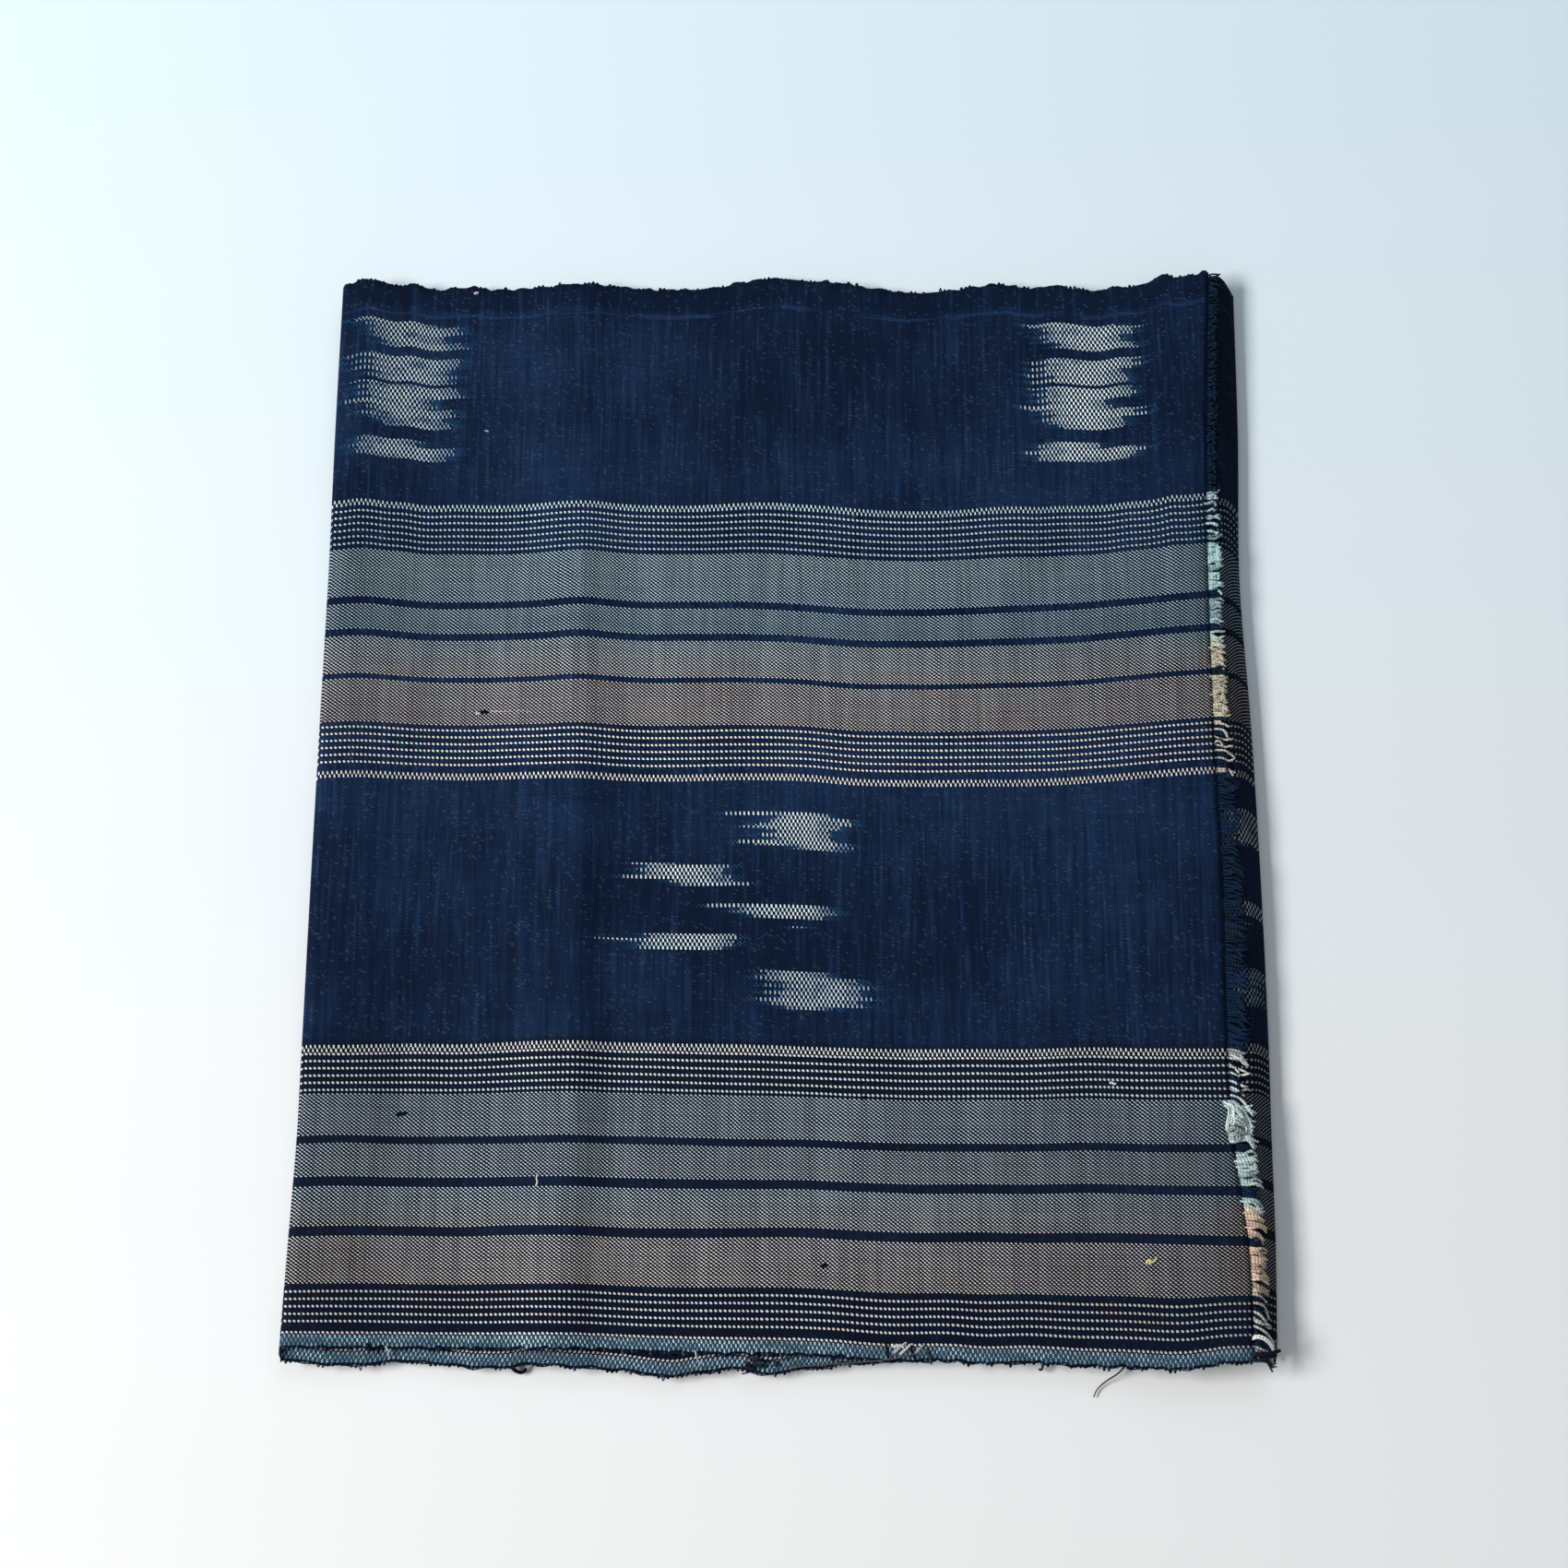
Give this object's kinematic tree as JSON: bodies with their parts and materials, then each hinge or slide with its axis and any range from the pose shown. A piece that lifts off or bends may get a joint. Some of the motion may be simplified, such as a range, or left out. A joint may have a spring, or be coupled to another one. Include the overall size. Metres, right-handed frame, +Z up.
{
  "type": "folded ikat woven cotton cloth",
  "caption": "Length of narrow-loom indigo ikat cotton with striped bands, folded flat back and forth, its cut end unravelled into a short fringe.",
  "frame": {"origin": "under the middle of the folded stack, on the surface it lies on", "axes": "+X along the cloth's length, towards the fringed end of the top layer; +Y across the loom width, from the near selvedge to the far one; +Z up"},
  "size_m": [0.2938, 0.3448, 0.0101],
  "materials": {
    "cloth": "matt hand-woven indigo cotton with pale warp stripes and blurred white bars",
    "fringe": "loose unravelled cotton warp ends, indigo, pale mint and cream"
  },
  "bodies": {
    "root": {"cloth": "cloth", "fringe": "fringe"}
  },
  "joints": []
}
